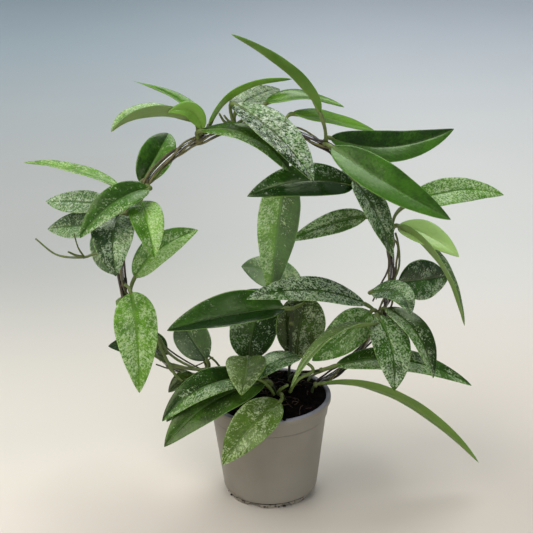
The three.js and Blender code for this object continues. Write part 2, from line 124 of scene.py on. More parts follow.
# ---- meshes ----
class Shell:
    """The points and faces of one piece, and what its materials read at each point."""

    def __init__(self):
        self.points, self.faces, self.slots = [], [], []
        self.place, self.form, self.look = [], [], []

    def add(self, points, faces, place=None, look=(0, 0, 0, 0), form=None):
        """Adds points, and the faces that each material slot has on them."""
        first = len(self.points)
        plain = [(0, 0, 0)] * len(points)
        self.points.extend(points)
        self.place.extend(place or plain)
        self.form.extend(form or plain)
        self.look.extend([look] * len(points))
        for slot, rows in faces.items():
            self.faces.extend([tuple(first + i for i in face) for face in rows])
            self.slots.extend([slot] * len(rows))

    def piece(self, name, materials, slot, nodes=()):
        mesh = mesh_of(name, self.points, self.faces, materials)
        mesh.polygons.foreach_set("material_index", self.slots)
        mesh.polygons.foreach_set("use_smooth", [True] * len(self.faces))
        for key, kind, field, rows in (
            ("place", "FLOAT_VECTOR", "vector", self.place),
            ("form", "FLOAT_VECTOR", "vector", self.form),
            ("look", "FLOAT_COLOR", "color", self.look),
        ):
            layer = mesh.attributes.new(key, kind, "POINT")
            layer.data.foreach_set(field, np.array(rows, np.float32).ravel())
        mesh.update()
        return settle(name, mesh, nodes)


def mesh_of(name, points, faces, materials):
    mesh = bpy.data.meshes.new(name)
    mesh.from_pydata([[c * MM for c in p] for p in points], [], faces)
    for material in materials:
        mesh.materials.append(material)
    return mesh


def placed(name, data):
    thing = bpy.data.objects.new(name, data)
    bpy.context.scene.collection.objects.link(thing)
    return thing


def settle(name, mesh, nodes=()):
    piece = placed(name, mesh)
    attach(piece, "root")
    if nodes:
        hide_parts(*nodes)
    return piece


def smooth_route(points, per=10):
    """A centripetal spline through points, with so many steps to each stretch."""
    pts = [Vector(p) for p in points]
    pts = [2 * pts[0] - pts[1]] + pts + [2 * pts[-1] - pts[-2]]
    out = []
    for a, b, c, d in zip(pts, pts[1:], pts[2:], pts[3:]):
        d0, d1, d2 = (max((q - p).length ** 0.5, 1e-4) for p, q in ((a, b), (b, c), (c, d)))
        t1 = ((b - a) / d0 - (c - a) / (d0 + d1) + (c - b) / d1) * d1
        t2 = ((c - b) / d1 - (d - b) / (d1 + d2) + (d - c) / d2) * d1
        for i in range(per):
            u = i / per
            out.append(
                (2 * u**3 - 3 * u**2 + 1) * b
                + (u**3 - 2 * u**2 + u) * t1
                + (3 * u**2 - 2 * u**3) * c
                + (u**3 - u**2) * t2
            )
    out.append(pts[-2])
    return out


def evened(route, step):
    """The same route with points at even distances of about step."""
    far = [0.0]
    for p, q in zip(route, route[1:]):
        far.append(far[-1] + (q - p).length)
    count = max(2, round(far[-1] / step))
    at = np.linspace(0, far[-1], count + 1)
    cols = [np.interp(at, far, [p[k] for p in route]) for k in range(3)]
    return [Vector(c) for c in zip(*cols)]


def bezier(a, b, c, count):
    shares = [i / count for i in range(count + 1)]
    return [(1 - u) ** 2 * a + 2 * u * (1 - u) * b + u * u * c for u in shares]


def headings(route):
    """The way that a route runs at each of its points."""
    last = len(route) - 1
    return [(route[min(i + 1, last)] - route[max(i - 1, 0)]).normalized() for i in range(last + 1)]


def tapered(route, start, end):
    """A radius for each point of a route, from start to end."""
    return list(np.linspace(start, end, len(route)))


def noise_at(x, y, z):
    return noise.noise(Vector((x, y, z)))


def polar(r, a):
    return r * cos(a), r * sin(a)


def ring(r, z, sides):
    return [(*polar(r, 2 * pi * k / sides), z) for k in range(sides)]


def skin(rings, sides):
    """The faces of a closed body, whose points are its rings in turn and then its two ends."""
    first, last = rings * sides, rings * sides + 1
    end = (rings - 1) * sides
    faces = []
    for k in range(sides):
        n = (k + 1) % sides
        faces += [(n, k, first), (end + k, end + n, last)]
        for a in range(0, end, sides):
            faces.append((a + k, a + n, a + sides + n, a + sides + k))
    return faces


def tube(shell, route, radii, slot, sides=10, wobble=0.0, seed=0.0, look=(0, 0, 0, 0), grain=3.0):
    """A closed rod along a route, with a radius at each point and its surface uneven by wobble."""
    ahead = headings(route)
    side = ahead[0].orthogonal().normalized()
    points, place, far = [], [], 0.0
    for i, (p, r) in enumerate(zip(route, radii)):
        side = (side - ahead[i] * side.dot(ahead[i])).normalized()
        other = ahead[i].cross(side)
        far += (p - route[i - 1]).length if i else 0.0
        for k in range(sides):
            a = 2 * pi * k / sides
            x, y = polar(1, a)
            uneven = r * (1 + wobble * noise_at(far / grain, x * 1.1, y * 1.1 + seed * 7.3))
            points.append(p + (side * x + other * y) * uneven)
            place.append((far, uneven * a, seed))
    points += [route[0] - ahead[0] * radii[0] * 0.5, route[-1] + ahead[-1] * radii[-1] * 0.5]
    place += [(0, 0, seed), (far, 0, seed)]
    shell.add(points, {slot: skin(len(route), sides)}, place, look)


def blob(shell, centre, axis, size, slot, rough=0.2, seed=0.0, look=(0, 0, 0, 0), rings=6, sides=9):
    """A lumpy ellipsoid with its first half-axis along axis."""
    centre = Vector(centre)
    axis = Vector(axis).normalized()
    u = axis.orthogonal().normalized()
    w = axis.cross(u)
    points, place = [], []
    for i in range(rings - 1, 0, -1):
        along, out = polar(1, pi * i / rings)
        for k in range(sides):
            x, y = polar(out, 2 * pi * k / sides)
            r = 1 + rough * noise_at(1.6 * along + seed, 1.6 * x + 2.1 * seed, 1.6 * y)
            points.append(centre + (axis * size[0] * along + u * size[1] * x + w * size[2] * y) * r)
            place.append((along * size[0], x * size[1], seed))
    points += [centre - axis * size[0], centre + axis * size[0]]
    place += [(-size[0], 0, seed), (size[0], 0, seed)]
    shell.add(points, {slot: skin(rings - 1, sides)}, place, look)


# ---- the hoop's path and the stems round it ----
def oval_point(angle):
    a = radians(angle)
    x, y, z = HOOP.centre
    return Vector((x + HOOP.half_width * sin(a), y, z + HOOP.half_height * cos(a)))


def leg(side, turn):
    down = turn + [(HOOP.leg_x, z) for z in LEG_HEIGHTS]
    return [Vector((side * x, HOOP.centre[1], z)) for x, z in down]


def hoop_path():
    steps = round(2 * HOOP.last_angle / HOOP.angle_step)
    oval = [oval_point(-HOOP.last_angle + HOOP.angle_step * i) for i in range(steps + 1)]
    return smooth_route(leg(-1, LEFT_TURN)[::-1] + oval + leg(1, RIGHT_TURN), 24)


PATH = evened(hoop_path(), 1.5)
PATH_STEP = sum((q - p).length for p, q in zip(PATH, PATH[1:])) / (len(PATH) - 1)
AHEAD = headings(PATH)
BACK = Vector((0, 1, 0))


def nearest(target):
    return min(range(len(PATH)), key=lambda i: (PATH[i] - target).length_squared)


def around(i, orbit, turn):
    x, y = polar(orbit, turn)
    return PATH[i] + AHEAD[i].cross(BACK) * x + BACK * y


def knot_root(i, target):
    sideways = target - PATH[i]
    sideways -= AHEAD[i] * sideways.dot(AHEAD[i])
    return PATH[i] + sideways.normalized() * STALK_OFFSET


# ---- leaves ----
TOP, UNDER, STALK, BARK = range(4)


def leaf(
    at, base, middle, tip, width, faces, fold, splash, dark, warm=0, lean=0, wash=0, widest=LEAF.widest
):
    """A leaf at one of its section's knots, or at a share of its shoot. Its look is how much silver splash it
    has, how dark and how olive it is, which half the splash keeps to (from -1 to 1), which also paints that
    half lighter and the other half darker as light and shade, and how much pale grey-green lies over the
    green, partly its own colour and partly painted sheen."""
    return Named(
        at=at,
        base=Vector(base),
        middle=Vector(middle),
        tip=Vector(tip),
        width=width,
        faces=Vector(faces),
        fold=radians(1.15 * fold + 4),
        look=(splash, dark, warm, lean),
        wash=wash,
        widest=widest,
    )


def unseen_leaf(at, base, middle, tip, width, faces):
    """A leaf at the back, with a look that stands for most of the others."""
    return leaf(at, base, middle, tip, width, faces, 10, 0.4, 0.6, 0.05)


def fullness(t, widest):
    fall = LEAF.rise * (1 - widest) / widest
    top = widest ** LEAF.rise * (1 - widest) ** fall
    return t ** LEAF.rise * (1 - t) ** fall / top


def rib_of(form):
    """The midrib's place and heading at a share of its length, as two functions."""
    base, tip = form.base, form.tip
    pull = 2 * form.middle - 0.5 * base - 0.5 * tip

    def at(t):
        return (1 - t) ** 2 * base + 2 * t * (1 - t) * pull + t * t * tip

    def heading(t):
        return (2 * (1 - t) * (pull - base) + 2 * t * (tip - pull)).normalized()

    return at, heading


def blade_faces(rows, cols):
    """The upper and lower faces between rows that come together in one point at each end."""

    def up_id(i, j):
        return i * cols + (0 if i in (0, rows - 1) else j)

    def low_id(i, j):
        shared = i in (0, rows - 1) or j in (0, cols - 1)
        return up_id(i, j) if shared else (rows + i) * cols + j

    tops, unders = [], []
    for i in range(rows - 1):
        for j in range(cols - 1):
            for pick, into, turn in ((up_id, tops, 1), (low_id, unders, -1)):
                quad = [pick(i, j), pick(i, j + 1), pick(i + 1, j + 1), pick(i + 1, j)]
                face = [q for k, q in enumerate(quad) if q != quad[k - 1]]
                if len(face) > 2:
                    into.append(face[::turn])
    return tops, unders


def blade(shell, form, seed):
    at, heading = rib_of(form)
    length = sum((at((i + 1) / 20) - at(i / 20)).length for i in range(20))
    upper, lower, place, shape = [], [], [], []
    waviness = 0.9 + 0.5 * rng.random()
    curl = rng.uniform(0.02, 0.08)
    lift = sin(form.fold)
    crease = LEAF.crease
    for t in ALONG:
        centre = at(t)
        ahead = heading(t)
        across = ahead.cross(form.faces).normalized()
        up = across.cross(ahead)
        half = form.width / 2 * fullness(t, form.widest) if 0 < t < 1 else 0.0
        x = t * length
        for v in ACROSS:
            y = half * v * (1 + LEAF.ripple * noise_at(t * 5.5, copysign(3, v), seed * 9.1))
            spread = sqrt(v * v + crease * crease)
            wave = noise_at(x / LEAF.wave_along, y / LEAF.wave_across, seed * 3.7)
            rise = half * (lift * (spread - crease) - curl * abs(v) ** 3)
            rise += waviness * min(1, half / 9) * wave
            slope = lift * v / spread - copysign(3 * curl * v * v, v)
            groove = exp(-y * y) * min(1, 5 * (1 - t)) * min(1, half / 4)
            folded = cos(form.fold * min(1, abs(v) / 0.2))
            spot = centre + across * y * folded + up * rise
            normal = (up - across * slope).normalized()
            thick = LEAF.thickness * sqrt(max(0.0, 1 - v**4)) * min(1, half / 2.5)
            upper.append(spot + normal * (thick / 2 - LEAF.groove_top * groove))
            lower.append(spot - normal * (thick / 2 + LEAF.groove_under * groove))
            place.append((x, y, seed))
            shape.append((t, v, form.wash))
    tops, unders = blade_faces(len(ALONG), len(ACROSS))
    used = sorted({i for face in tops + unders for i in face})
    index = {old: new for new, old in enumerate(used)}
    points, places, shapes = upper + lower, place * 2, shape * 2

    def picked(faces):
        return [[index[i] for i in face] for face in faces]

    shell.add(
        [points[i] for i in used],
        {TOP: picked(tops), UNDER: picked(unders)},
        [places[i] for i in used],
        form.look,
        [shapes[i] for i in used],
    )


def petiole(shell, root, form, seed):
    """The stalk, which runs on under the blade and fades into its midrib."""
    at, heading = rib_of(form)
    reach = (form.base - root).length
    control = form.base - heading(0) * LEAF.arrive * reach
    route = bezier(root, control, form.base, 12)
    radii = [2.0 - 0.5 * sin(pi * min(1, i / 9)) for i in range(13)]
    for t, drop, radius in ((0.04, 0.9, 1.3), (0.09, 1.0, 1.0), (0.15, 1.1, 0.5)):
        across = heading(t).cross(form.faces).normalized()
        route.append(at(t) - across.cross(heading(t)) * drop)
        radii.append(radius)
    tone = 0.15 + 0.4 * rng.random()
    warm = form.look[2]
    tube(shell, route, radii, STALK, 10, 0.1, seed, (0, tone, warm, 0))


# Each section of the vine has its knots, in degrees round the oval from its top, and its leaves.
SECTIONS = {
    "vine_left_low": ([-131, -138], [
        leaf(1, [-70, 0, 121], [-83, -8, 122], [-96, -14, 113], 20, [0, -0.5, 1], 12, 0.1, 0.9, 0.3),
        leaf(0, [-99, 22, 139], [-125, 34, 142], [-159, 52, 133], 34, [0, -0.6, 1], 12, 0.15, 0.9, 0.05),
        leaf(1, [-59, -8, 144], [-71, -5, 163], [-82, 0, 181], 35, [0.1, -0.9, 0.5], 10,
             0.55, 0.85, 0.15, 0.2, 0.3, widest=0.56),
    ]),
    "vine_left_mid": ([-106], [
        leaf(0, [-126, 26, 216], [-100, 36, 242], [-65, 48, 255], 34, [-0.3, -0.7, 0.7], 10,
             1, 0.2, 0, 0.5, 0.1),
        unseen_leaf(0, [-132, 26, 197], [-133, 64, 164], [-129, 94, 120], 34, [0, -0.4, 1]),
    ]),
    "vine_left_bend": ([-96, -85], [
        leaf(0, [-128, 0, 211], [-123, -14, 177], [-123, -22, 117], 42, [0.05, -1, 0.35], 8, 0.95, 0.25),
    ]),
    "vine_left_high": ([-66], [
        leaf(0, [-134, 4, 286], [-138, -30, 279], [-135, -52, 248], 42, [0, -0.7, 1], 12,
             0.95, 0.9, 0, -0.3, 0.1),
        leaf(0, [-115, 2, 300], [-107, -26, 290], [-100, -44, 262], 33, [0.2, -0.8, 0.7], 14,
             0.95, 0.2, 0, -0.6),
        leaf(0, [-158, 28, 268], [-184, 56, 259], [-214, 76, 249], 28, [0, -0.85, 0.6], 6,
             1, 0.7, 0, -0.6, 0.35),
        leaf(0, [-137, 34, 270], [-153, 33, 244], [-145, 29, 218], 32, [-0.2, -1, 0.3], 6,
             0.75, 0.85, 0.05, 0, 0.6),
        unseen_leaf(0, [-124, 28, 281], [-135, 68, 266], [-156, 100, 236], 34, [0, -0.2, 1]),
    ]),
    "vine_left_top": ([-52], [
        leaf(0, [-148, 28, 289], [-181, 50, 285], [-212, 66, 281], 27, [0, -0.75, 0.8], 6,
             1.1, 0.6, 0, 0, 0.5),
        leaf(0, [-136, 20, 309], [-182, 40, 321], [-229, 58, 323], 28, [-0.05, 0.1, 1], 8,
             0.8, 0.15, 0.05, 0, 0.1),
        leaf(0, [-106, 0, 313], [-137, -22, 307], [-167, -38, 280], 31, [-0.25, -0.85, 0.75], 12,
             0.6, 0.56, 0, -0.35),
        leaf(0, [-115, 20, 312], [-101, 36, 333], [-90, 60, 348], 33, [0.05, -0.95, 0.5], 8,
             0.45, 0.55, 0, 0.6, widest=0.5),
    ]),
    "vine_top_left": ([-23], [
        leaf(0, [-66, 8, 375], [-105, -8, 384], [-135, -24, 374], 34, [0, 0.15, 1], 36,
             0.8, 0.4, 0.05, 0.6, 0.5),
        leaf(0, [-56, 20, 364], [-76, 34, 386], [-121, 46, 403], 22, [0.6, -0.25, 0.8], 14,
             0.05, 0.35, widest=0.3),
        leaf(0, [-56, 10, 365], [-65, 2, 385], [-85, -10, 387], 17, [0, -1, 0.3], 14, 0.05, -0.15),
        leaf(0, [-50, 20, 366], [-22, 31, 394], [27, 44, 402], 28, [-0.5, 0.25, 0.85], 14, 0.05, -0.2),
        leaf(0, [-57, 0, 367], [-12, -20, 366], [21, -36, 339], 28, [0.25, -0.4, 1], 8,
             0.5, 0.6, 0.1, 0.5, widest=0.5),
    ]),
    "vine_top": ([-8], [
        leaf(0, [-25, 26, 377], [-8, 58, 383], [16, 92, 381], 34, [-0.1, -0.7, 0.8], 8,
             1.05, 0.75, 0.15, 0, 0.4),
        leaf(0, [-25, -2, 391], [13, -38, 370], [42, -64, 337], 40, [0.55, -0.75, 0.6], 12,
             1.15, 0.9, 0, -0.5),
        unseen_leaf(0, [-11, 28, 372], [6, 66, 356], [23, 98, 331], 32, [0, -0.1, 1]),
    ]),
    "vine_top_right": ([12], [
        leaf(0, [3, 24, 385], [36, 36, 387], [75, 42, 375], 28, [0.1, -0.1, 1], 10, 0.15, 0.3, 0.05, 0, 0.05),
        leaf(0, [27, 22, 375], [67, 48, 361], [106, 70, 344], 26, [0.1, -0.35, 1], 6, 0.1, 0.15, 0.05),
        leaf(0, [20, 6, 327], [10, 6, 261], [3, 10, 192], 40, [-0.15, -1, 0.15], 8,
             0.72, 0.5, 0, 0.75, 0.3, widest=0.34),
    ]),
    "vine_right_top": ([30], [
        leaf(0, [51, 8, 379], [24, 20, 413], [-28, 34, 447], 32, [0.6, 0.3, 0.8], 24, 0.1, 0.8),
        leaf(0, [61, 24, 351], [121, 52, 333], [182, 76, 343], 35, [0, -0.85, 0.75], 6, 0.06, 0.72, 0, 0.4),
        leaf(0, [61, -2, 350], [107, -32, 325], [164, -50, 295], 38, [0.3, -0.85, 0.75], 10,
             0.12, 0.56, 0, 0.25),
        unseen_leaf(0, [70, 30, 338], [98, 70, 309], [130, 104, 273], 34, [0.1, -0.3, 1]),
    ]),
    "vine_right_high": ([52], [
        leaf(0, [81, 0, 312], [34, -24, 325], [-16, -40, 317], 34, [0, -0.9, 0.75], 8, 0.55, 1, 0, 0.4),
        leaf(0, [81, 2, 316], [100, -18, 292], [116.5, -14, 247], 30, [0.6, -0.75, 0.3], 10,
             0.85, 0.85, 0, 0, 0.1),
        unseen_leaf(0, [80, 32, 310], [63, 72, 297], [39, 106, 281], 34, [0, -0.2, 1]),
    ]),
    "vine_right_mid": ([76], [
        leaf(0, [95, 22, 274], [62, 30, 265], [22, 34, 247], 25, [-0.1, -0.7, 0.8], 6, 0.9, 0.65),
        leaf(0, [131, 30, 281], [182, 50, 289], [231, 68, 278], 30, [0.1, -0.7, 0.8], 6, 1, 0.35, 0, 0, 0.05),
        leaf(0, [123, 2, 272], [147, -26, 272], [173, -46, 258], 26, [0.2, -0.85, 0.65], 8,
             0.05, -0.5, 0, 0, 0.25),
        leaf(0, [123, -6, 274], [156, -48, 252], [177, -66, 199], 30, [0.9, -0.15, 0.5], 20,
             0.7, 0.55, 0.25, 0, 0.2),
    ]),
    "vine_right_low": ([97], [
        leaf(0, [126, 22, 208], [154, 52, 198], [182, 80, 190], 40, [0, -1, 0.4], 4, 0.75, 0.85, 0, 0.4),
        leaf(0, [98, -4, 208], [120, -34, 219], [129, -56, 206], 26, [0.15, -0.75, 0.7], 6,
             0.85, 0.8, 0, 0, 0.2),
    ]),
    "vine_right_base": ([112], [
        leaf(0, [104, -4, 184], [115, -34, 163], [116, -52, 129], 38, [0.25, -0.9, 0.5], 8, 0.95, 0.75),
        leaf(0, [112, 4, 188], [139, -24, 173], [153, -44, 137], 32, [0.6, -0.65, 0.55], 14,
             0.75, 0.75, 0.1, 0.6),
        leaf(0, [92, 0, 195], [38, -28, 221], [-19, -46, 221], 34, [0, -0.5, 1], 8, 1, 0.88, 0, -0.2),
        leaf(0, [102, -14, 180], [56, -44, 180], [20, -64, 140], 22, [-0.5, -0.1, 0.8], 14,
             0.6, 0.45, 0.4, 0, 0.3),
        leaf(0, [98, 2, 186], [74, -2, 165], [42, 2, 136], 38, [-0.3, -0.9, 0.6], 8, 0.8, 0.5),
        unseen_leaf(0, [107, 26, 173], [100, 66, 148], [85, 98, 116], 32, [-0.1, -0.4, 1]),
        unseen_leaf(0, [119, 26, 171], [140, 64, 143], [161, 94, 101], 32, [0.1, -0.4, 1]),
    ]),
    "vine_right_leg": ([134], []),
}

# Bare stems: the knot that each grows from, if it does, its radius and its points.
TWIGS = {
    "vine_left_bend": [
        (1, 1.3, [(-149, 7, 248), (-161, 9, 247), (-171, 12, 243), (-198, 20, 243), (-218, 27, 257)]),
        (None, 0.9, [(-171, 12, 243), (-176, 11, 253), (-179, 10, 268)]),
        (None, 1.4, [(-171, 12, 243), (-178, 9, 246), (-185, 6, 251)]),
    ],
    "vine_top": [
        (0, 1.5, [(-35, 9, 372), (-40, 6, 381)]),
        (0, 1.4, [(-32, 16, 371), (-36, 18, 376)]),
    ],
}

# Each shoot has its stem's points and its leaves, which stand at shares of the stem.
SHOOTS = {
    "shoot_centre": ([(20, 18, 90), (20, 18, 112), (22, 16, 150), (24, 14, 190)], [
        leaf(0.97, [16, -8, 195], [-36, -24, 196], [-93, -36, 187], 47, [-0.05, -0.65, 1], 26,
             0.36, 0.95, 0, 0.6),
        leaf(0.35, [27, 22, 132], [31, 26, 160], [38, 32, 191], 50, [0, -1, 0.1], 12,
             0.75, 0.9, 0.25, 0.4, widest=0.58),
        leaf(0.95, [34, 52, 191], [3, 64, 204], [-25, 76, 206], 34, [0, -0.9, 0.5], 8,
             0.7, 0.55, 0.05, 0.4, 0.9),
        leaf(0.45, [30, 2, 141], [5, -17, 143], [-21, -34, 130], 30, [0, -0.15, 1], 6, 0.85, 0.7, 0, 0, 0.15),
        unseen_leaf(0.8, [12, 46, 175], [-21, 76, 170], [-57, 104, 146], 34, [0, -0.3, 1]),
    ]),
    "shoot_back": ([(-18, 28, 90), (-18, 28, 110), (-19, 29, 122)], [
        leaf(0.96, [-19, 30, 126], [-15, 34, 152], [-4, 45, 187], 48, [-0.1, -1, 0.2], 10,
             0.7, 0.95, 0, -0.3, widest=0.6),
    ]),
    "shoot_front_left": ([(6, -12, 90), (6, -12, 112), (0, -12, 122), (-10, -9, 140)], [
        leaf(0.98, [-20, -12, 147], [-21, -46, 148], [-25, -84, 143], 42, [0, -0.3, 1], 20,
             0.7, 0.6, 0.4, 0.2, 0.1),
        leaf(0.75, [-18, -20, 128], [-60, -46, 134], [-99, -66, 109], 33, [-0.1, -0.65, 1], 12,
             0.7, 0.75, 0.05, -0.5),
        leaf(0.55, [-4, -21, 126], [-55, -54, 120], [-97, -80, 90], 40, [-0.1, -0.75, 1], 10,
             0.45, 0.75, 0.15),
        leaf(0.6, [-42, -16, 112], [-73, -30, 112], [-97, -42, 96], 28, [-0.1, -0.4, 1], 10, 0.15, 0.85),
    ]),
    "shoot_front": ([(14, -27, 90), (14, -27, 112), (11, -33, 118)], [
        leaf(0.96, [10, -42, 115], [-17, -70, 104], [-44, -84, 72], 39, [-0.25, -0.85, 0.6], 6,
             0.8, 0.55, 0.35),
    ]),
    "shoot_right_low": ([(42, -5, 90), (42, -5, 109), (46, -6, 116)], [
        leaf(0.96, [53, -6, 116], [128, -10, 99], [204, -14, 30], 28, [0.25, 0.7, 0.8], 4,
             0.1, 0.5, 0.15, 0, 0.05),
    ]),
    "shoot_right": ([(20, 7, 90), (20, 7, 115), (27, 5, 122), (42, -3, 127), (52, -10, 132)], [
        leaf(0.97, [64, -12, 137], [129, -14, 141], [195, -8, 111], 30, [0.05, -0.45, 1], 6,
             0.75, 0.6, 0.05, 0.4),
    ]),
}

# Young stems: their radius, how brown and how olive they are, and their points.
YOUNG_STEMS = [
    (1.5, 0.15, 0.2, [(-105, 6, 163), (-102.6, 4, 151.6), (-96.2, 0, 138.6), (-86.9, -6, 124.3),
        (-69.8, -10, 115.2), (-45, -10, 107)]),
    (1.3, 0.25, 0.2, [(-103.4, 8, 160), (-98, 6, 148.5), (-86.8, 4, 138.6), (-73.5, 2, 131.8),
        (-60, 0, 125), (-41, 0, 114), (-30, 2, 106)]),
    (0.8, 0.9, 0.9, [(-104.7, 22, 150), (-93.6, 22, 139), (-80.3, 22, 129), (-67.8, 20, 122),
        (-55, 20, 114), (-40, 18, 106)]),
    (0.7, 0.9, 0.9, [(-109.5, 20, 127), (-96.4, 24, 120), (-82.9, 26, 118.6), (-69, 28, 121.7),
        (-54, 30, 129)]),
    (1.1, 0.2, 0.2, [(-62.4, -2, 143), (-60, 0, 133.6), (-59.4, 4, 123), (-56, 6, 114)]),
    (1.1, 0.2, 0.2, [(-58.8, 26, 133), (-51.2, 26, 125.5), (-44, 24, 114.5), (-38, 22, 106)]),
    (1.7, 0, 0.1, [(20, -12, 109), (23, -14, 117.3), (30, -14, 125.6), (38.6, -10, 127.8), (42.6, -6, 129),
        (41.8, -2, 131.3), (35, -2, 137)]),
    (1.3, 0.1, 0.2, [(30.4, 6, 122.4), (45, 6, 122), (57.5, 6, 125), (73.8, 4, 133)]),
    (1.1, 0.5, 0.4, [(38, 8, 112), (42, 10, 116), (55, 12, 121), (69.6, 14, 126.4), (84, 12, 138)]),
    (1.6, 0, 0.1, [(8, -15, 104), (7.6, -18, 108), (9.6, -22, 116.3), (14.4, -24, 121.3),
        (18.2, -24, 123.4)]),
    (1.6, 0, 0.1, [(8, -16, 104), (5.7, -20, 110), (1, -22, 119.6), (-6.3, -26, 129), (-14, -30, 134)]),
    (0.9, 1.4, 1.2, [(110, 14, 258), (114.4, 10, 244.4), (115.7, 6, 237.6), (113.4, 4, 225.8),
        (106.8, 3, 212.5), (100, 4, 196)]),
    (1, 0.5, 0.2, [(121, 10, 262), (122.8, 8, 255.6), (124.8, 8, 240.6), (124.4, 8, 228.1), (120, 10, 214),
        (113, 12, 200)]),
    (0.5, 1.2, 1, [(116.8, 6, 234.5), (110.3, 4, 219.3), (104.6, 2, 208.1), (103, 3, 198)]),
    (0.5, 1, 1, [(49, 16, 101), (52, 18, 104.4), (60, 20, 108.7), (67, 24, 113)]),
    (0.5, 1, 1, [(46, 20, 102), (48.4, 22, 105.8), (60.4, 26, 113.4), (71, 28, 117.6)]),
]


# ---- materials, all procedural ----
class Nodes:
    """Builds a material's node tree from short calls."""

    def __init__(self, name):
        self.material = bpy.data.materials.new(name)
        self.material.use_nodes = True
        self.tree = self.material.node_tree
        self.shader = self.tree.nodes["Principled BSDF"]

    def put(self, kind, inputs=None, **props):
        node = self.tree.nodes.new(kind)
        for key, value in props.items():
            setattr(node, key, value)
        for key, value in (inputs or {}).items():
            self.feed(node.inputs[key], value)
        return node

    def feed(self, socket, value):
        if isinstance(value, bpy.types.NodeSocket):
            self.tree.links.new(value, socket)
        else:
            socket.default_value = (*value, 1) if socket.type == "RGBA" else value

    def math(self, operation, a, b=0, c=0, clamp=False):
        node = self.put("ShaderNodeMath", operation=operation, use_clamp=clamp)
        for socket, value in zip(node.inputs, (a, b, c)):
            self.feed(socket, value)
        return node.outputs[0]

    def times(self, a, b, clamp=False):
        return self.math("MULTIPLY", a, b, clamp=clamp)

    def plus(self, a, b, clamp=False):
        return self.math("ADD", a, b, clamp=clamp)

    def ramp(self, value, low=0.3, high=0.7, to_low=0, to_high=1):
        """A smooth step, by default over the range that most of a noise lies in."""
        inputs = {0: value, 1: low, 2: high, 3: to_low, 4: to_high}
        return self.put("ShaderNodeMapRange", inputs, interpolation_type="SMOOTHSTEP").outputs[0]

    def mix(self, share, a, b):
        node = self.put("ShaderNodeMix", data_type="RGBA")
        self.feed(node.inputs["Factor"], share)
        for socket, value in zip([s for s in node.inputs if s.type == "RGBA"], (a, b)):
            self.feed(socket, value)
        return [s for s in node.outputs if s.type == "RGBA"][0]

    def noise(self, where, scale, detail=2, rough=0.5, distort=0):
        inputs = {"Vector": where, "Scale": scale, "Detail": detail, "Roughness": rough}
        inputs["Distortion"] = distort
        return self.put("ShaderNodeTexNoise", inputs).outputs["Fac"]

    def attribute(self, name, output="Vector"):
        return self.put("ShaderNodeAttribute", attribute_name=name).outputs[output]

    def object_place(self):
        return self.put("ShaderNodeTexCoord").outputs["Object"]

    def bump(self, height, strength, distance):
        inputs = {"Strength": strength, "Distance": distance, "Height": height}
        self.feed(self.shader.inputs["Normal"], self.put("ShaderNodeBump", inputs).outputs[0])

    def split(self, vector):
        return self.put("ShaderNodeSeparateXYZ", {0: vector}).outputs

    def join(self, x, y, z):
        return self.put("ShaderNodeCombineXYZ", {0: x, 1: y, 2: z}).outputs[0]

    def finish(self, colour, roughness, **constants):
        self.feed(self.shader.inputs["Base Color"], colour)
        self.feed(self.shader.inputs["Roughness"], roughness)
        for key, value in constants.items():
            self.feed(self.shader.inputs[key.replace("_", " ")], value)
        return self.material


LAYER_STEP = 41  # between the layers of noise that two neighbouring pieces read
LEAF_FLESH = {"Subsurface_Radius": (0.5, 1, 0.12), "Subsurface_Scale": 0.003}


def surface(n):
    """A piece's own surface in millimetres, along and across it, and its layer of noise."""
    x, y, seed = n.split(n.attribute("place"))
    return x, y, n.times(seed, LAYER_STEP)


def leaf_places(n):
    """A place on a leaf, the same drawn out along its side veins, and how far it is from the midrib."""
    x, y, layer = surface(n)
    far = n.math("ABSOLUTE", y)
    # The side veins lean towards the tip.
    across_vein = n.math("MULTIPLY_ADD", far, -0.75, n.times(x, 0.85))
    along_vein = n.math("MULTIPLY_ADD", x, 0.5, n.times(far, 0.9))
    veined = n.join(n.times(across_vein, 0.6), n.times(along_vein, 0.36), layer)
    return n.join(x, y, layer), veined, far


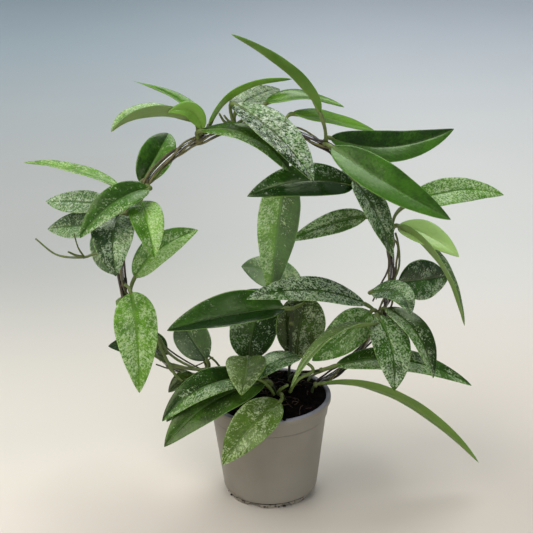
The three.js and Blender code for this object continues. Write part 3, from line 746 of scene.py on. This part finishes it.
def leaf_top():
    n = Nodes("leaf_top")
    spot, veined, far = leaf_places(n)
    along, side, wash = n.split(n.attribute("form"))
    splash, dark, warm = n.split(n.attribute("look"))
    lean = n.attribute("look", "Alpha")

    # The green itself, from bright to dark, clouded, with one half painted lighter and the other darker, and
    # paler at the very edge.
    cloud = n.noise(spot, 0.045, 2, 0.5)
    mottle = n.noise(veined, 0.75, 3, 0.6)
    depth = n.plus(dark, n.ramp(cloud, 0.3, 0.7, -0.12, 0.12), clamp=True)
    depth = n.plus(depth, n.ramp(mottle, 0.35, 0.65, -0.06, 0.07), clamp=True)
    # Painted light and shade: lean makes one half of the blade lighter and the other darker, partly the
    # leaf's own two tones and partly how light falls on a folded blade.
    half = n.times(lean, n.ramp(side, -0.12, 0.12, 0.35, -0.35))
    depth = n.plus(depth, half, clamp=True)
    green = n.mix(n.ramp(depth, 0, 0.5), (0.15, 0.33, 0.03), (0.05, 0.145, 0.012))
    green = n.mix(n.ramp(depth, 0.4, 1), green, (0.007, 0.027, 0.003))
    green = n.mix(n.ramp(dark, -0.5, 0, 1, 0), green, (0.36, 0.54, 0.15))
    olive = n.mix(depth, (0.23, 0.23, 0.045), (0.045, 0.042, 0.014))
    green = n.mix(n.times(warm, 0.9, clamp=True), green, olive)
    edge = n.math("ABSOLUTE", side)
    green = n.mix(n.ramp(edge, 0.93, 0.995, 0, 0.5), green, (0.2, 0.32, 0.08))

    # Silver splashes: small blotches that crowd together in some parts, run on into each other,
    # and keep off a band along the midrib that narrows towards the tip.
    crowd = n.noise(spot, 0.062, 1, 0.5)
    share = n.times(splash, n.ramp(crowd, 0.28, 0.68, 0.65, 1.15))
    keep = n.math("MULTIPLY_ADD", n.times(lean, side), 0.75, 1)
    share = n.times(share, keep)
    band = n.math("MULTIPLY_ADD", n.math("SUBTRACT", 1, along), -1.4, far)
    share = n.times(share, n.ramp(band, -0.5, 1.4, 0.45, 1), clamp=True)
    grain = n.noise(veined, 0.85, 4, 0.72, 0.9)
    fine = n.noise(spot, 0.55, 4, 0.7)
    speckle = n.math("MULTIPLY_ADD", fine, 0.45, n.times(grain, 0.55))
    gate = n.ramp(share, 0, 1, 0.68, 0.475)
    over = n.math("SUBTRACT", speckle, gate)
    fleck = n.math("MULTIPLY_ADD", n.ramp(over, -0.01, 0.02), 0.45, n.ramp(over, -0.01, 0.12, 0, 0.55))
    lime = n.mix(dark, (0.4, 0.58, 0.2), (0.3, 0.4, 0.24))
    white = n.mix(dark, (0.55, 0.69, 0.38), (0.4, 0.47, 0.34))
    white = n.mix(n.ramp(splash, 1, 1.15), white, (0.66, 0.74, 0.6))
    silver = n.mix(n.ramp(n.noise(spot, 0.25, 1), 0.35, 0.65), lime, white)
    silver = n.mix(warm, silver, (0.42, 0.44, 0.2))
    # Painted sheen: a pale grey-green laid over the blade, partly the leaf's own colour and partly sheen.
    colour = n.mix(n.times(wash, 0.55), green, (0.22, 0.31, 0.2))
    colour = n.mix(n.times(fleck, 0.9), colour, silver)
    line = n.times(n.ramp(far, 0.3, 0.9, 0.24, 0), n.ramp(along, 0, 0.9, 1, 0.2))
    colour = n.mix(line, colour, (0.2, 0.27, 0.09))
    rough = n.plus(n.ramp(cloud, 0.3, 0.7, 0.2, 0.31), n.times(fleck, 0.1))
    relief = n.plus(n.noise(spot, 0.35, 2), n.times(fleck, 0.12))
    n.bump(relief, 0.35, 0.0006)
    return n.finish(
        colour,
        rough,
        Specular_IOR_Level=0.42,
        Specular_Tint=(0.85, 1, 0.58),
        Subsurface_Weight=0.25,
        **LEAF_FLESH,
    )


def leaf_under():
    n = Nodes("leaf_under")
    spot, veined, far = leaf_places(n)
    splash, dark, warm = n.split(n.attribute("look"))
    wash = n.split(n.attribute("form"))[2]
    cloud = n.noise(spot, 0.05, 3, 0.6)
    pale = n.mix(n.ramp(cloud), (0.165, 0.345, 0.028), (0.225, 0.41, 0.055))
    deep = n.mix(n.ramp(cloud), (0.038, 0.088, 0.014), (0.07, 0.135, 0.028))
    colour = n.mix(n.times(dark, 0.9), pale, deep)
    colour = n.mix(n.times(warm, 0.5), colour, (0.16, 0.15, 0.045))
    flecks = n.ramp(n.noise(veined, 1, 3, 0.7), 0.56, 0.64)
    colour = n.mix(n.times(n.times(flecks, splash), 0.4), colour, (0.24, 0.31, 0.13))
    # Painted sheen: a pale grey-green laid over the underside, partly the leaf's own colour and partly sheen.
    colour = n.mix(n.times(wash, 0.9), colour, (0.27, 0.31, 0.18))
    colour = n.mix(n.ramp(far, 0.6, 2.2, 0.4, 0), colour, (0.2, 0.26, 0.09))
    n.bump(n.noise(spot, 0.4, 3), 0.3, 0.0006)
    return n.finish(
        colour,
        n.ramp(cloud, 0.3, 0.7, 0.42, 0.55),
        Specular_IOR_Level=0.3,
        Specular_Tint=(0.85, 1, 0.66),
        Subsurface_Weight=0.4,
        **LEAF_FLESH,
    )


def stalk_skin():
    n = Nodes("stalk_skin")
    painted_shade, brownness, warm = n.split(n.attribute("look"))
    x, y, layer = surface(n)
    streak = n.noise(n.join(n.times(x, 0.4), y, layer), 0.5, 3, 0.6)
    green = n.mix(n.ramp(streak), (0.095, 0.145, 0.026), (0.165, 0.225, 0.05))
    brown = n.mix(n.ramp(streak), (0.03, 0.022, 0.012), (0.075, 0.058, 0.028))
    share = n.plus(n.times(brownness, 0.6), n.times(warm, 0.3), clamp=True)
    # Painted shade: where the look's first value is set, the stem is painted almost black-green, as if in
    # shade among the leaves.
    skin = n.mix(n.times(painted_shade, 0.9), n.mix(share, green, brown), (0.012, 0.02, 0.006))
    n.bump(streak, 0.4, 0.0005)
    return n.finish(skin, n.ramp(streak, 0.3, 0.7, 0.4, 0.55), Specular_IOR_Level=0.45)


def vine_bark():
    n = Nodes("vine_bark")
    greenness = n.split(n.attribute("look"))[0]
    along, across, layer = surface(n)
    spot = n.join(n.times(along, 0.35), across, layer)
    streak = n.noise(spot, 0.55, 4, 0.65)
    patch = n.noise(spot, 0.08, 2)
    bark = n.mix(n.ramp(streak), (0.008, 0.0055, 0.005), (0.055, 0.034, 0.026))
    olive = n.mix(n.ramp(streak), (0.09, 0.088, 0.026), (0.23, 0.215, 0.075))
    green = n.mix(n.ramp(streak), (0.055, 0.095, 0.018), (0.135, 0.19, 0.05))
    # On the left the stems are green near the soil, and more olive high up.
    x, _, z = n.split(n.object_place())
    sunny = n.times(n.ramp(z, 0.27, 0.31, 0, 0.7), n.ramp(x, -0.02, -0.06))
    share = n.times(n.plus(greenness, sunny), n.ramp(patch, 0.35, 0.6, 0.3, 1), clamp=True)
    low = n.times(n.ramp(z, 0.21, 0.16), n.ramp(x, 0, -0.06))
    young = n.times(low, n.ramp(patch, 0.35, 0.6, 0.95, 0.55), clamp=True)
    skin = n.mix(young, n.mix(share, bark, olive), green)
    n.bump(streak, 0.6, 0.0007)
    return n.finish(skin, n.ramp(streak, 0.3, 0.7, 0.38, 0.6), Specular_IOR_Level=0.5)


def coated_wire():
    n = Nodes("coated_wire")
    where = n.attribute("place")
    wear = n.noise(where, 0.35, 3, 0.6)
    colour = n.mix(n.ramp(wear, 0.35, 0.7), (0.016, 0.015, 0.018), (0.034, 0.032, 0.038))
    n.bump(wear, 0.15, 0.0003)
    return n.finish(colour, n.ramp(wear, 0.3, 0.7, 0.1, 0.18), Specular_IOR_Level=1, IOR=2.1)


def pot_plastic():
    n = Nodes("pot_plastic")
    where = n.object_place()
    x, _, z = n.split(where)
    cloud = n.noise(where, 14, 3, 0.55)
    fine = n.noise(where, 900, 2, 0.6)
    body = n.mix(n.ramp(cloud), (0.225, 0.203, 0.163), (0.27, 0.248, 0.205))
    dusty = n.times(n.ramp(z, 0, 0.03, 0.35, 0), n.ramp(n.noise(where, 60, 3, 0.6), 0.4, 0.7))
    body = n.mix(dusty, body, (0.27, 0.24, 0.19))
    # Soil specks on the foot itself. The groove over the foot is painted darker as shade, and the wall low on
    # the left is a darker brown.
    specks = n.noise(where, 380, 3, 0.65)
    foot = n.ramp(z, 0.0062, 0.0068, 1, 0)
    body = n.mix(n.times(foot, n.ramp(specks, 0.42, 0.6, 0, 0.5)), body, (0.36, 0.32, 0.25))
    body = n.mix(n.times(foot, n.ramp(specks, 0.36, 0.46, 0.8, 0)), body, (0.03, 0.022, 0.014))
    # Painted shade: the groove over the foot is painted almost black-brown.
    groove = n.times(n.ramp(z, 0.004, 0.0047), foot)
    body = n.mix(n.times(groove, 0.85), body, (0.035, 0.027, 0.018))
    # Darker brown low on the wall on the left, just over the foot.
    low_left_brown = n.times(n.ramp(z, 0.0066, 0.013, 0.8, 0), n.ramp(x, -0.04, -0.01, 1, 0))
    low_left_brown = n.times(low_left_brown, n.ramp(n.noise(where, 130, 3, 0.6), 0.4, 0.6))
    body = n.mix(low_left_brown, body, (0.075, 0.055, 0.032))
    # Painted reflection: the top of the lip is painted a paler blue-grey, as the sky would show on it.
    lip = n.ramp(z, 0.1012, 0.1026, 0, 0.75)
    body = n.mix(lip, body, (0.2, 0.205, 0.265))
    n.bump(n.plus(n.times(fine, 0.4), cloud), 0.12, 0.0004)
    return n.finish(body, n.ramp(cloud, 0.3, 0.7, 0.4, 0.5), Specular_IOR_Level=0.4)


def potting_mix():
    n = Nodes("potting_mix")
    where = n.object_place()
    clump = n.noise(where, 160, 4, 0.65)
    fine = n.noise(where, 900, 3, 0.7)
    colour = n.mix(n.ramp(clump), (0.0008, 0.0007, 0.0006), (0.0045, 0.003, 0.0024))
    colour = n.mix(n.ramp(fine, 0.58, 0.72, 0, 0.7), colour, (0.035, 0.018, 0.011))
    n.bump(n.plus(clump, n.times(fine, 0.5)), 0.8, 0.0015)
    return n.finish(colour, n.ramp(fine, 0.3, 0.7, 0.85, 1), Specular_IOR_Level=0.04)


def dry_fibre():
    n = Nodes("dry_fibre")
    where = n.object_place()
    tone = n.noise(where, 120, 2)
    colour = n.mix(n.ramp(tone), (0.014, 0.008, 0.005), (0.052, 0.03, 0.018))
    return n.finish(colour, n.ramp(tone, 0.3, 0.7, 0.6, 0.8), Specular_IOR_Level=0.3)


def floor_painted_light():
    n = Nodes("floor_painted_light")
    where = n.object_place()
    x, y, _ = n.split(where)
    # Painted light and shade: the floor is painted darker on the left in the middle, darker at the near right
    # and lighter where the pot's shadow falls on the right, standing in for how the light falls; far back it
    # turns to the grey-blue of the backdrop.
    right = n.ramp(x, -0.35, 0.35)
    near = n.mix(right, (0.82, 0.75, 0.655), (0.56, 0.505, 0.44))
    second = n.mix(right, (0.7, 0.66, 0.58), (0.78, 0.71, 0.62))
    middle = n.mix(right, (0.475, 0.48, 0.455), (0.67, 0.665, 0.625))
    back = n.mix(n.ramp(x, -0.6, 0.3), (0.507, 0.615, 0.667), (0.672, 0.739, 0.794))
    colour = n.mix(n.ramp(y, -2.1, -1.85), near, second)
    colour = n.mix(n.ramp(y, -1.85, -1.3), colour, middle)
    colour = n.mix(n.ramp(y, -1.3, 0.6), colour, back)
    n.bump(n.noise(where, 40, 3), 0.02, 0.001)
    return n.finish(colour, n.ramp(n.noise(where, 6), 0.3, 0.7, 0.55, 0.65), Specular_IOR_Level=0.2)


LEAF_SET = [leaf_top(), leaf_under(), stalk_skin(), vine_bark()]

# ---- leaves and their stalks, section by section ----
seed = 0
for name, (angles, leaves) in SECTIONS.items():
    shell = Shell()
    knots = [nearest(oval_point(a)) for a in angles]
    for form in leaves:
        seed += 1
        knot = knots[form.at]
        root = knot_root(knot, form.base)
        petiole(shell, root, form, seed / 10)
        blade(shell, form, seed / 10)
        out = (root - PATH[knot]).normalized()
        axis = out + AHEAD[knot] * 0.6
        blob(shell, root - out * 0.8, axis, VINE_FOOT, BARK, 0.35, seed, (0.3, 0, 0, 0))
    for k, knot in enumerate(knots):
        blob(shell, PATH[knot], AHEAD[knot], KNOT, BARK, 0.7, seed + k * 3.3, (0.15, 0, 0, 0), 9, 12)
    for k, (at, radius, points) in enumerate(TWIGS.get(name, [])):
        route = [Vector(p) for p in points]
        if at is not None:
            route.insert(0, knot_root(knots[at], route[0]))
        route = evened(smooth_route(route, 8), 2.5)
        radii = tapered(route, 1.15 * radius, 0.6 * radius)
        tube(shell, route, radii, STALK, 9, 0.25, seed + k, (0, 0.35, 0.5, 0), 4.0)
    shell.piece("leaves_" + name, LEAF_SET, "leaf", [name])

# ---- shoots out of the soil ----
for name, (points, leaves) in SHOOTS.items():
    shell = Shell()
    stem = evened(smooth_route(points, 12), 2.0)
    # The shoot stems are painted almost black-green as shade.
    tube(shell, stem, [STEM.shoot] * len(stem), STALK, 10, 0.2, seed, (1, 0, 0, 0))
    for form in leaves:
        seed += 1
        root = stem[round(form.at * (len(stem) - 1))]
        petiole(shell, root, form, seed / 10)
        blade(shell, form, seed / 10)
        blob(shell, root, (0, 0, 1), SHOOT_FOOT, STALK, 0.3, seed, (0, 0.6, 0.3, 0))
    shell.piece("leaves_" + name, LEAF_SET, "leaf", [name])

# ---- young stems and stalks low down, which have no leaf of their own in the source ----
shell = Shell()
for k, (radius, brown, warm, points) in enumerate(YOUNG_STEMS):
    route = evened(smooth_route(points, 8), 2.0)
    radii = tapered(route, 1.05 * radius, 0.9 * radius)
    tube(shell, route, radii, 0, 9, 0.14, 60 + k, (0, brown, warm, 0))
shell.piece("young_stems", [LEAF_SET[STALK]], "stem")

# ---- stems wound round the wire, each one piece from end to end ----
# Each strand's phase in degrees, radius, share of olive and distance from the wire's middle.
STRANDS = [(0, 1.2, 0.1, 3.4), (80, 1.0, 1.4, 3.5), (175, 0.95, 0.0, 3.2), (270, 1.0, 0.9, 3.4)]
shell = Shell()
first, last = (nearest(Vector((x, HOOP.centre[1], STEM.root))) for x in (-HOOP.leg_x, HOOP.leg_x))
for k, (phase, radius, olive, orbit) in enumerate(STRANDS):
    route, radii = [], []
    for i in range(first, last + 1, 2):
        far = i * PATH_STEP
        turn = radians(phase) + 2 * pi * far / STEM.pitch
        sway = noise_at(far / 34, k * 5.1, 0)
        route.append(around(i, orbit + 4.0 * max(0, sway), turn + 1.5 * sway))
        radii.append(radius * (1 + 0.18 * noise_at(far / 19, k * 3.3, 4)))
    tube(shell, route, radii, 0, 10, 0.16, k + 1.0, (olive, 0, 0, 0), 5.0)
shell.piece("vine_strands", [LEAF_SET[BARK]], "stem", list(SECTIONS))

# ---- wire hoop ----
shell = Shell()
tube(shell, PATH, [HOOP.wire] * len(PATH), 0, 14)
shell.piece("wire_hoop", [coated_wire()], "hoop", ["hoop"])


# ---- pot ----
def turned(profile, sides):
    """A closed round body from (radius, height) pairs that start and end on the axis."""
    points = [p for r, z in profile[1:-1] for p in ring(r, z, sides)]
    points += [(0, 0, profile[0][1]), (0, 0, profile[-1][1])]
    return points, skin(len(profile) - 2, sides)


def rounded(profile, corners):
    """The profile with some corners rounded, given as {index: radius}."""
    out = []
    for i, (r, z) in enumerate(profile):
        if i not in corners:
            out.append((r, z))
            continue
        here = Vector((r, z))
        before = Vector(profile[i - 1]) - here
        after = Vector(profile[i + 1]) - here
        reach = min(corners[i], before.length / 2, after.length / 2)
        a, b = here + before.normalized() * reach, here + after.normalized() * reach
        out += [tuple(p) for p in bezier(a, here, b, 5)]
    return out


def foot_lobes(x, y, z):
    """The foot is scalloped and a little chipped; the rest of the pot stays as it is."""
    far = hypot(x, y)
    if z > 4.6 or far < POT.foot - 0.5:
        return x, y, z
    turn = atan2(y, x) - radians(POT.notch_start)
    chips = noise_at(x / 2.2, y / 2.2, 2)
    swell = 0.5 * cos(POT.notches * turn + pi) + 0.6 * chips
    grow = 1 + swell * (1 - z / 13) / far
    return x * grow, y * grow, z


def drill(cuts, radius, depth, place):
    """Adds a round cutter to cuts, stood along the Z axis of a place given as a matrix."""
    size = {"radius1": radius * MM, "radius2": radius * MM, "depth": depth * MM}
    bmesh.ops.create_cone(cuts, cap_ends=True, segments=32, matrix=place, **size)


collar_foot = POT.height - POT.collar
lip_foot = POT.height - POT.lip
profile = rounded(
    [
        (0, 0),
        # The foot, the groove over it and the slant up to the body.
        (POT.foot, 0),
        (POT.foot + 1.0, 4.4),
        (POT.foot - 1.2, 4.9),
        (POT.foot - 1.2, 6.4),
        (POT.body_foot - 0.7, 6.7),
        (POT.body_foot + 0.2, POT.foot_height + 1.0),
        # The fine line under the collar, the collar and the lip.
        (POT.body_top - 0.2, collar_foot - 1.4),
        (POT.body_top - 0.6, collar_foot - 0.9),
        (POT.body_top - 0.6, collar_foot - 0.2),
        (POT.collar_foot, collar_foot),
        (POT.collar_top, lip_foot - 1),
        (POT.rim, lip_foot),
        (POT.rim, POT.height),
        # The inside, back down to the floor.
        (POT.mouth, POT.height),
        (POT.mouth, lip_foot),
        (POT.body_top - POT.wall, collar_foot),
        (POT.body_foot - POT.wall, POT.foot_height),
        (POT.foot - POT.wall, POT.floor),
        (0, POT.floor),
    ],
    {1: 0.8, 2: 0.5, 5: 0.4, 6: 1.4, 10: 0.25, 12: 0.7, 13: 1.8, 14: 1.8},
)
points, faces = turned(profile, POT.sides)
pot_mesh = mesh_of("pot_body", [foot_lobes(*p) for p in points], faces, [pot_plastic()])
pot = settle("pot_body", pot_mesh, ["pot"])

cuts = bmesh.new()
outward = Matrix.Translation(((POT.foot + POT.notch_out) * MM, 0, 0))
lying = Matrix.Diagonal(POT.notch_stretch) @ Matrix.Rotation(pi / 2, 4, "Y")
for i in range(POT.notches):
    turn = radians(POT.notch_start + 360 * i / POT.notches)
    drill(cuts, POT.notch_radius, POT.notch_depth, Matrix.Rotation(turn, 4, "Z") @ outward @ lying)
for x, y, z in ring(POT.hole_circle, 1, POT.holes):
    drill(cuts, POT.hole_radius, POT.hole_depth, Matrix.Translation((x * MM, y * MM, z * MM)))
tool = placed("cuts", bpy.data.meshes.new("cuts"))
cuts.to_mesh(tool.data)
cuts.free()
modifier = pot.modifiers.new("cuts", "BOOLEAN")
modifier.object = tool
modifier.operation = "DIFFERENCE"
modifier.solver = "EXACT"
bpy.context.view_layer.update()
drilled = bpy.data.meshes.new_from_object(pot.evaluated_get(bpy.context.evaluated_depsgraph_get()))
pot.modifiers.clear()
pot.data = drilled
bpy.data.objects.remove(tool)
drilled.polygons.foreach_set("use_smooth", [True] * len(drilled.polygons))
drilled.set_sharp_from_angle(angle=radians(30))


# ---- soil ----
def soil_height(r):
    """The height of the potting mix at a distance from the pot's axis."""
    return float(np.interp(r, *zip(*SOIL_TOP)))


def soil_bumps(x, y):
    a, b = x / 6.5, y / 6.5
    lump = 0.9 * (sin(a + 1.7 * sin(b)) + cos(1.3 * b - 1.1 * sin(a)))
    fine = noise_at(x / 4.2, y / 4.2, 3) + 0.6 * noise_at(x / 1.9, y / 1.9, 8)
    return 0.8 * lump + fine


def on_soil(x, y, lift=0.0):
    return Vector((x, y, soil_height(hypot(x, y)) + soil_bumps(x, y) + lift))


def crumb(shell, spot, axis, size, seed):
    blob(shell, spot, axis, size, 0, 0.5, seed, rings=5, sides=7)


shell = Shell()
soil_radius = POT.mouth - SOIL.gap
inside = [
    (POT.foot - POT.wall, POT.floor),
    (POT.body_foot - POT.wall, POT.foot_height),
    (POT.body_top - POT.wall, collar_foot),
    (POT.mouth, lip_foot),
]
points = [p for r, z in inside for p in ring(r - SOIL.gap, z + SOIL.gap, SOIL.sides)]
for i in range(SOIL.rings):
    r = soil_radius * (1 - i / SOIL.rings)
    fade = min(1, i / 3)
    for x, y, z in ring(r, soil_height(r), SOIL.sides):
        points.append((x, y, z + fade * soil_bumps(x, y)))
points += [(0, 0, POT.floor + SOIL.gap), on_soil(0, 0)]
shell.add(points, {0: skin(len(inside) + SOIL.rings, SOIL.sides)})
for i in range(SOIL.crumbs):
    r = soil_radius * sqrt(rng.random()) * 0.97
    x, y = polar(r, rng.uniform(0, 2 * pi))
    size = rng.uniform(0.8, 2.3) * (1.5 if rng.random() < 0.12 else 1)
    axis = Vector((rng.uniform(-1, 1), rng.uniform(-1, 1), rng.uniform(-0.4, 0.4)))
    if r + size <= soil_radius:
        crumb(shell, on_soil(x, y, 0.2 * size), axis, (size, size * 0.75, size * 0.6), i * 1.3)
crumb(shell, (14, -57.2, 104), (1, 0.2, 0), (1.6, 1.2, 1.0), 3.1)
shell.piece("potting_mix", [potting_mix()], "soil", ["soil"])

# ---- roots and fibres on the soil, and crumbs in the groove over the pot's foot ----
# The first crumbs have set places, in degrees round the pot, and the others fall anywhere.
CRUMB_ANGLES = (-91, -107, -72, -150, -141, -127, -24, -84)
shell = Shell()
for i in range(SOIL.fibres):
    start = Vector(polar(rng.uniform(5, 52), rng.uniform(0, 2 * pi)))
    heading = rng.uniform(0, 2 * pi)
    reach = rng.uniform(4, 16)
    route = []
    for k in range(5):
        u = k / 4
        spot = start + Vector(polar(reach * u, heading + 0.6 * u))
        spot.length = min(spot.length, SOIL.fibre_reach)
        route.append(on_soil(*spot, 0.6 + 1.6 * sin(pi * u) * rng.random()))
    thick = rng.uniform(0.25, 0.7)
    route = smooth_route(route, 3)
    tube(shell, route, [thick * (1 - 0.5 * j / len(route)) for j in range(len(route))], 0, 6)
for i in range(SOIL.foot_crumbs):
    known = i < len(CRUMB_ANGLES)
    a = radians(CRUMB_ANGLES[i]) if known else rng.uniform(0, 2 * pi)
    x, y = polar(POT.foot + rng.uniform(0.6, 1.4), a)
    spot = (x, y, rng.choice((rng.uniform(0.8, 3.6), 4.7)))
    size = rng.uniform(0.5, 1.1)
    crumb(shell, spot, (-sin(a), cos(a), 0.1), (size * 1.5, size, size * 0.8), i * 1.7)
shell.piece("soil_fibres", [dry_fibre()], "soil")

# ---- floor, light and camera ----
bpy.ops.mesh.primitive_plane_add(size=FLOOR.size, location=FLOOR.place)
floor = bpy.context.object
floor.name = "floor"
floor.data.materials.append(floor_painted_light())

for name, place, aim, size, power, colour in LIGHTS:
    data = bpy.data.lights.new(name, "AREA")
    data.shape = "DISK"
    data.size = size
    data.energy = power
    data.color = colour
    lamp = placed(name, data)
    lamp.location = place
    lamp.rotation_euler = (Vector(aim) - Vector(place)).to_track_quat("-Z", "Y").to_euler()

world = bpy.data.worlds.new("studio")
world.use_nodes = True
sky = world.node_tree.nodes["Background"].inputs
sky["Color"].default_value = SKY.colour
sky["Strength"].default_value = SKY.strength
bpy.context.scene.world = world
bpy.context.scene.view_settings.view_transform = "Standard"

lens = bpy.data.cameras.new("camera")
lens.lens = CAMERA.lens
lens.sensor_width = CAMERA.sensor
camera = placed("camera", lens)
camera.matrix_world = (
    Matrix.Translation(CAMERA.place)
    @ Matrix.Rotation(radians(CAMERA.tilt), 4, "X")
    @ Matrix.Rotation(radians(CAMERA.roll), 4, "Z")
)
bpy.context.scene.camera = camera
